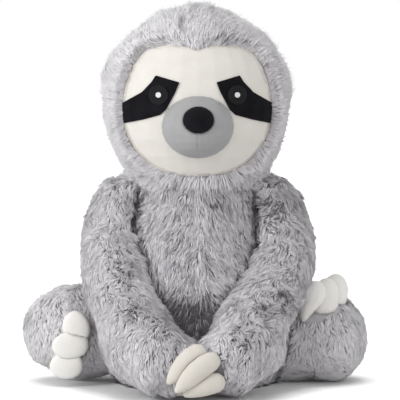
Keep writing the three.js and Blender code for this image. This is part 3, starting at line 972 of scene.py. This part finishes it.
def bends(roots, normals, pressed, coat, rng):
    """The middle and tip of each strand, before it is gathered into locks."""
    count = len(roots)
    messy = ruffled(roots)
    share, extra, _ = coat["lie"](roots)
    comb = along_skin(coat["comb"](roots), normals)
    swirl = waves(roots, *BROAD_SWIRL) + waves(roots, coat["swirl"], *FINE_SWIRL)
    swirl += waves(roots, RUFFLE_STRENGTH * messy, *RUFFLE_SWIRL)
    comb = turned(comb, normals, swirl + rng.normal(0, SWIRL_SPREAD, count))
    lean = math.radians(coat["lean"]) + extra - RUFFLE_LIFT * messy + PRESSED_LEAN * pressed
    lean += waves(roots, *LEAN_WAVES) + rng.normal(0, LEAN_SPREAD, count)
    lean -= STRAY_LIFT * (rng.random(count) < STRAY_SHARE)
    length = coat["length"] * share * (1 + waves(roots, *LENGTH_WAVES))
    length *= rng.uniform(*LENGTH_SPREAD, count) * (1 - (1 - PRESSED_LENGTH) * pressed)
    first = leaning(normals, comb, np.clip(lean - LOWER_LIFT, *LOWER_LEANS))
    last = leaning(normals, comb, np.clip(lean + UPPER_DROOP, *UPPER_LEANS))
    middle = roots + first * (MIDDLE_SHARE * length)[:, None]
    tip = middle + last * ((1 - MIDDLE_SHARE) * length)[:, None]
    return middle, tip


def gathered(places, tip, count, pulls, rng):
    """The tips drawn to the tip of a chief strand near each, and the number of each strand's group."""
    chiefs = rng.choice(len(places), max(1, int(count)), replace=False)
    tree = KDTree(len(chiefs))
    for k, i in enumerate(chiefs):
        tree.insert(places[i], k)
    tree.balance()
    group = np.array([tree.find(p)[1] for p in places])
    pull = rng.uniform(*pulls, len(chiefs))[group] * rng.uniform(*CHIEF_PULL, len(places))
    return tip + (tip[chiefs[group]] - tip) * pull[:, None], group


# The fringe round the face: where its strands root, how near the face's edge their tips may come, and from
# how far in front and how deep a ray looks for the face
FRINGE_Y = -60 * MM
FRINGE_REACH = 45 * MM
OVERHANG = 2.5 * MM
LOOK_FROM = Vector((0, 20 * MM, 0))
LOOK_DEPTH = 30 * MM
TOWARDS_FACE = Vector((0, 1, 0))
SHORTENED = (0.6, 0.5)

CLOTH_MARGIN = 0.5 * MM
FUR_OVERLAP = 1.5 * MM
CLEAR_REACH = 4 * MM


def off_the_face(roots, tip):
    """The tips drawn back towards their roots where they would hang over the face."""
    for share in SHORTENED:
        for i in np.nonzero(np.abs(roots[:, 1] - FRINGE_Y) < FRINGE_REACH)[0]:
            outwards = Vector((tip[i][0], 0, tip[i][2] - FACE_RISE)).normalized() * OVERHANG
            start = Vector(tip[i]) + outwards - LOOK_FROM
            if TREES["face_panel"].ray_cast(start, TOWARDS_FACE, LOOK_DEPTH)[0] is not None:
                tip[i] = roots[i] + (tip[i] - roots[i]) * share
    return tip


def kept_clear(points, node):
    """The points moved out of the neighbouring solids and off the floor."""
    for nodes, margin in ((SMOOTH, CLOTH_MARGIN), (others(node), -FUR_OVERLAP)):
        gap, place, normal = nearest(points, nodes, CLEAR_REACH)
        inside = gap < margin
        points[inside] = place[inside] + normal[inside] * margin
    points[:, 2] = np.maximum(points[:, 2], FLOOR_GAP)
    return points


def ring_points(centre, direction, radius):
    """A triangle of points round each centre, square to the direction."""
    side = unit(np.cross(direction, RING_START))
    other = np.cross(direction, side)
    turns = 2 * math.pi * np.arange(STRAND_SIDES) / STRAND_SIDES
    return [centre + radius[:, None] * (side * math.cos(t) + other * math.sin(t)) for t in turns]


def strand_faces():
    """The six triangles of one strand, from its root over the ring at its middle to its tip."""
    root, ring, tip = 0, 1, 1 + STRAND_SIDES
    faces = []
    for k in range(STRAND_SIDES):
        here, after = ring + k, ring + (k + 1) % STRAND_SIDES
        faces += [(root, after, here), (here, after, tip)]
    return np.array(faces)


def strand_mesh(name, roots, middle, tip, radius, tint, facing):
    """Closed strands that taper to both ends, with their tint and their place along, and soft normals."""
    turn = unit(unit(middle - roots) + unit(tip - middle))
    points = np.stack([roots, *ring_points(middle, turn, radius), tip], axis=1)
    each = points.shape[1]
    faces = strand_faces()[None] + each * np.arange(len(roots))[:, None, None]
    mesh = triangle_mesh(name, points.reshape(-1, 3), faces.reshape(-1, 3))
    along = np.array([ROOT_SPAN, *[MIDDLE_SHARE] * STRAND_SIDES, TIP_SPAN])
    spread = np.array([1, *range(STRAND_SIDES), 1]) * TINT_SPAN / 2
    shade = tint[:, None] * (1 - TINT_SPAN) + spread[None]
    values = {"along": np.tile(along, len(roots)), "tint": shade.ravel()}
    for key, value in values.items():
        mesh.attributes.new(key, "FLOAT", "POINT").data.foreach_set("value", value.astype(np.float32))
    corners = faces.ravel()
    flat = np.stack([values["tint"][corners], values["along"][corners]], 1)
    mesh.uv_layers.new(name="OFBake").uv.foreach_set("vector", flat.astype(np.float32).ravel())
    outward = (points - middle[:, None]) / radius[:, None, None]
    outward[:, 0] = 0
    outward[:, -1] = 0
    soft = facing[:, None] * SOFTNESS + outward * (1 - SOFTNESS)
    mesh.normals_split_custom_set_from_vertices(unit(soft.reshape(-1, 3)).astype(np.float32))
    return mesh


def strand_tints(roots, lock, coat, shade, rng):
    """A tint from 0 to 1 for each strand, by the patch and lock it lies in, by chance and by painted shade.
    """
    patch = waves(roots, *TINT_WAVES)
    of_lock = LOCK_TINT * (rng.uniform(0, 1, lock.max() + 1)[lock] - 1 / 2)
    differing = patch + of_lock + rng.normal(0, STRAND_TINT, len(roots))
    return np.clip(coat["tone"] + shade + coat["spread"] * differing, 0, 1)


# Near the floor the pile is painted darker, as shade in a crease. Each coat has a seed of its own, and its
# roots another.
FLOOR_REACH = 9 * MM
COAT_SEEDS = {node: SEED + 10 * number for number, node in enumerate(FURRY)}
ROOT_SEEDS = {node: SEED + 7 + number for number, node in enumerate(FURRY)}


def grow_fur(node, skin, shares):
    """The coat of a furry node, in pieces of a workable size."""
    coat = COATS[node]
    rng = np.random.default_rng(COAT_SEEDS[node])
    roots, normals, pile = scattered(skin, shares, coat["patch"], ROOT_SEEDS[node])
    pressed, depth = pile[:, 1], pile[:, 2]
    middle, tip = bends(roots, normals, pressed, coat, rng)
    tip, _ = gathered(middle, tip, len(roots) / STRANDS_A_LOCK / LOCKS_A_TUFT, coat["tuft"], rng)
    tip, lock = gathered(middle, tip, len(roots) / STRANDS_A_LOCK, coat["lock"], rng)
    if node == "head":
        tip = off_the_face(roots, tip)
    middle, tip = kept_clear(middle, node), kept_clear(tip, node)
    # Painted light and shade from the lie, and painted shade in hollows, ruffled spots, creases and near
    # the floor
    _, _, shade = coat["lie"](roots)
    shade = shade - painted_hollow_shade(roots, node) - RUFFLE_PAINTED_SHADE * ruffled(roots)
    shade -= CREASE_PAINTED_SHADE * np.maximum(depth, 1 - fade(roots[:, 2], 0, FLOOR_REACH))
    tint = strand_tints(roots, lock, coat, shade, rng)
    radius = STRAND_RADIUS * rng.uniform(*RADIUS_SPREAD, len(roots))
    kept = np.nonzero(np.linalg.norm(tip - roots, axis=1) > SHORTEST_STRAND)[0]
    rng.shuffle(kept)
    pieces = math.ceil(len(kept) / STRANDS_A_PIECE)
    for number, part in enumerate(np.array_split(kept, pieces)):
        name = f"{node}_fur_{number + 1}"
        strands = (values[part] for values in (roots, middle, tip, radius, tint, normals))
        fur = link(name, strand_mesh(name, *strands))
        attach(dress(fur, "fur"), BODY_OF[node])


def furry_pieces():
    """Every furry node's backing and coat."""
    for node in FURRY:
        skin, shares = stuffed_skin(node)
        grow_fur(node, skin, shares)


# Smooth cloths

# How fine each mesh is and how often it is smoothed
FACE_MESH = (1.25 * MM, 6)
MUZZLE_MESH = (0.9 * MM, 4)
NOSE_MESH = (0.6 * MM, 2)
PATCH_MESH = (0.5 * MM, 7)
DISC_MESH = (0.35 * MM, 2)
DOT_MESH = (0.25 * MM, 2)
CLAW_MESH = (0.75 * MM, 8)
CLOTH_REACH = 4 * MM

FACE_EDGE = (0.2 * MM, 2.5 * MM)
MUZZLE_EDGE = (0.4 * MM, 1.6 * MM)
MUZZLE_SEAM_Z = 227 * MM
MUZZLE_SEAM_TOP = (MUZZLE_SEAM_Z, MUZZLE_SEAM_Z + 2 * MM)
MUZZLE_SEAM_END = (MUZZLE_SEAM_Z - 22 * MM, MUZZLE_SEAM_Z - 10 * MM)
MUZZLE_SEAM_WIDTH = 1.1 * MM
MUZZLE_SEAM_DEPTH = 0.45 * MM
MUZZLE_SEAM_TINT = 0.22
NAP = 0.6 * MM
NAP_EDGE = (0.5 * MM, 2.5 * MM)
PATCH_EDGE = (0.3, 0.95)


def mark_seam(obj, share):
    """Stores how much each vertex lies in a seam, for the material."""
    values = obj.data.attributes.new("seam", "FLOAT", "POINT")
    values.data.foreach_set("value", share.astype(np.float32))


def face_piece():
    """The face, with painted shade where the hood's fur meets it."""
    face = even_copy("face_panel", "face_cloth", *FACE_MESH)
    # Painted shade where the hood's fur meets the face
    gap, _, _ = nearest(points_of(face)[0], ("head",), CLOTH_REACH)
    mark_seam(face, 1 - fade(gap, *FACE_EDGE))
    dress(face, "face", "face_panel")


def muzzle_piece():
    """The muzzle, with its seam down from the nose and painted shade at its edges."""
    muzzle = even_copy("muzzle", "muzzle_cloth", *MUZZLE_MESH)
    points, normals = points_of(muzzle)
    seam = bell(points[:, 0] - middle_of("muzzle")[0], MUZZLE_SEAM_WIDTH)
    seam *= 1 - fade(points[:, 2], *MUZZLE_SEAM_TOP)
    seam *= fade(points[:, 2], *MUZZLE_SEAM_END)
    move_points(muzzle, points - normals * (MUZZLE_SEAM_DEPTH * seam)[:, None])
    # Painted shade where the muzzle meets the face and the nose, and the middle seam's own darker line
    gap, _, _ = nearest(points, ("face_panel", "nose"), CLOTH_REACH)
    mark_seam(muzzle, np.maximum(MUZZLE_SEAM_TINT * seam, 1 - fade(gap, *MUZZLE_EDGE)))
    dress(muzzle, "muzzle", "muzzle")


def nose_piece():
    """The nose, with its velvet's nap."""
    nose = even_copy("nose", "nose_velvet", *NOSE_MESH)
    points, normals = points_of(nose)
    gap, _, _ = nearest(points, ("muzzle",), CLOTH_REACH)
    move_points(nose, points + normals * (NAP * fade(gap, *NAP_EDGE))[:, None])
    dress(nose, "velvet", "nose")


def eye_pieces(side):
    """A velvet patch with its embroidered disc and white dot."""
    patch = even_copy(f"eye_patch_{side}", f"patch_velvet_{side}", *PATCH_MESH)
    points, normals = points_of(patch)
    _, _, facing = nearest(points, ("face_panel",), CLOTH_REACH)
    mark_seam(patch, 1 - fade((normals * facing).sum(1), *PATCH_EDGE))
    dress(patch, "velvet", f"eye_patch_{side}")
    disc = even_copy(f"eye_{side}", f"eye_disc_{side}", *DISC_MESH)
    dress(disc, f"eye_{side}", f"eye_{side}")
    dot = even_copy(f"eye_glint_{side}", f"eye_dot_{side}", *DOT_MESH)
    dress(dot, f"eye_glint_{side}", f"eye_glint_{side}")


# The left foot's claws are pressed flatter in front, and the right foot's first is pointed.
FLAT_CLAWS = "foot_claw_left"
FLAT_FRONT = -32 * MM
FLAT_SHARE = 0.35
FLAT_FACING = (0, 0.4)
POINTED_CLAW = "foot_claw_right_1"
POINTED_SHARE = 0.6
POINTED_LENGTH = 24 * MM
SOFT_ROUNDS = 25
FLAT_ROUNDS = 60


def flattened(points, normals):
    """The points that face forwards, drawn to a flatter front."""
    level = FLAT_FRONT + FLAT_SHARE * (points[:, 1] - FLAT_FRONT)
    points[:, 1] += (level - points[:, 1]) * fade(-normals[:, 1], *FLAT_FACING)
    return points


def pointed(points):
    """The points drawn in towards the bottom."""
    edge, bottom = points[:, 0].min(), points[:, 2].min()
    narrow = 1 - POINTED_SHARE * (1 - fade(points[:, 2], bottom, bottom + POINTED_LENGTH))
    points[:, 0] = edge + (points[:, 0] - edge) * narrow
    return points


def soften(obj, rounds):
    """Lets the light fall as on a rounder form, by averaging the normals."""
    _, normals = points_of(obj)
    soft = unit(averaged(normals, edges_of(obj), rounds))
    obj.data.normals_split_custom_set_from_vertices(soft.astype(np.float32))


def claw_piece(node):
    """A stuffed claw."""
    claw = even_copy(node, node + "_cloth", *CLAW_MESH)
    points, normals = points_of(claw)
    flat = node.startswith(FLAT_CLAWS)
    if flat:
        points = flattened(points, normals)
    if node == POINTED_CLAW:
        points = pointed(points)
    move_points(claw, points)
    soften(claw, FLAT_ROUNDS if flat else SOFT_ROUNDS)
    limb = node.split("_")[0]
    dress(claw, limb, node)


def smooth_pieces():
    """The face, muzzle, nose, eyes and claws."""
    face_piece()
    muzzle_piece()
    nose_piece()
    for side in SIDES:
        eye_pieces(side)
    for node in CLAWS:
        claw_piece(node)


# Stage, light and camera

CAMERA_LENS = 200
CAMERA_DISTANCE = 2.0
CAMERA_TILT = math.radians(3)
CAMERA_TARGET = Vector((0, 0, 0.173))
CAMERA_SHIFT = (0.01, -0.02125)

# The floor glows to plain white, but not where it touches the toy
FLOOR_SIZE = 60
FLOOR_COLOUR = (0.8, 0.8, 0.8, 1)
CONTACT_REACH = 60 * MM
FLOOR_GLOW = {"From Min": 0.45, "From Max": 0.92, "To Min": 0.02, "To Max": 0.8}

SKY_STRENGTH = 0.82
LAMP_SIZE = 1.2
LAMPS = {"key": ((-1.8, -1.2, 0.95), 27), "fill": ((1.1, -2.1, 0.15), 8)}


def where_seen(tree, usual, seen, surface):
    """Gives the surface one shader for the light it throws and another where the camera sees it."""
    ray = tree.nodes.new("ShaderNodeLightPath")
    choice = tree.nodes.new("ShaderNodeMixShader")
    tree.links.new(ray.outputs["Is Camera Ray"], choice.inputs["Fac"])
    tree.links.new(usual, choice.inputs[1])
    tree.links.new(seen, choice.inputs[2])
    tree.links.new(choice.outputs["Shader"], surface)


def floor_look():
    """Pale, and near white where nothing stands close over it."""
    mat, tree, shader = new_material("floor")
    shader.inputs["Base Color"].default_value = FLOOR_COLOUR
    shader.inputs["Roughness"].default_value = 1
    shader.inputs["Specular IOR Level"].default_value = 0
    openness = tree.nodes.new("ShaderNodeAmbientOcclusion")
    openness.inputs["Distance"].default_value = CONTACT_REACH
    rise = tree.nodes.new("ShaderNodeMapRange")
    for key, value in FLOOR_GLOW.items():
        rise.inputs[key].default_value = value
    tree.links.new(openness.outputs["AO"], rise.inputs["Value"])
    glow = tree.nodes.new("ShaderNodeEmission")
    tree.links.new(rise.outputs["Result"], glow.inputs["Strength"])
    both = tree.nodes.new("ShaderNodeAddShader")
    plain = shader.outputs["BSDF"]
    tree.links.new(plain, both.inputs[0])
    tree.links.new(glow.outputs["Emission"], both.inputs[1])
    where_seen(tree, plain, both.outputs["Shader"], tree.nodes["Material Output"].inputs["Surface"])
    return mat


def floor():
    """A wide floor: it keeps the shadow near the object and turns plain white further off."""
    bpy.ops.mesh.primitive_plane_add(size=FLOOR_SIZE)
    obj = bpy.context.object
    obj.name = "floor"
    obj.data.materials.append(floor_look())


def white_light(node, strength):
    """Makes this background shader white and of this strength."""
    node.inputs["Color"].default_value = (*WHITE, 1)
    node.inputs["Strength"].default_value = strength
    return node.outputs["Background"]


def world():
    """Even soft light, white where the camera sees it."""
    made = bpy.data.worlds.new("studio")
    bpy.context.scene.world = made
    made.use_nodes = True
    tree = made.node_tree
    soft = white_light(tree.nodes["Background"], SKY_STRENGTH)
    plain = white_light(tree.nodes.new("ShaderNodeBackground"), 1)
    where_seen(tree, soft, plain, tree.nodes["World Output"].inputs["Surface"])


def lamps():
    """Square soft lamps that face the object."""
    for name, (place, power) in LAMPS.items():
        data = bpy.data.lights.new(name, "AREA")
        data.size = LAMP_SIZE
        data.energy = power
        obj = link(name, data)
        obj.location = place
        obj.rotation_euler = (CAMERA_TARGET - Vector(place)).to_track_quat("-Z", "Y").to_euler()


def camera():
    """The camera at the photograph's place."""
    data = bpy.data.cameras.new("camera")
    data.lens = CAMERA_LENS
    data.shift_x, data.shift_y = CAMERA_SHIFT
    obj = link("camera", data)
    away = Vector((0, -math.cos(CAMERA_TILT), math.sin(CAMERA_TILT)))
    obj.location = CAMERA_TARGET + away * CAMERA_DISTANCE
    obj.rotation_euler = (math.pi / 2 - CAMERA_TILT, 0, 0)
    bpy.context.scene.camera = obj


def studio():
    """Floor, light and camera."""
    floor()
    world()
    lamps()
    camera()
    bpy.context.scene.view_settings.view_transform = "Standard"


furry_pieces()
smooth_pieces()
studio()
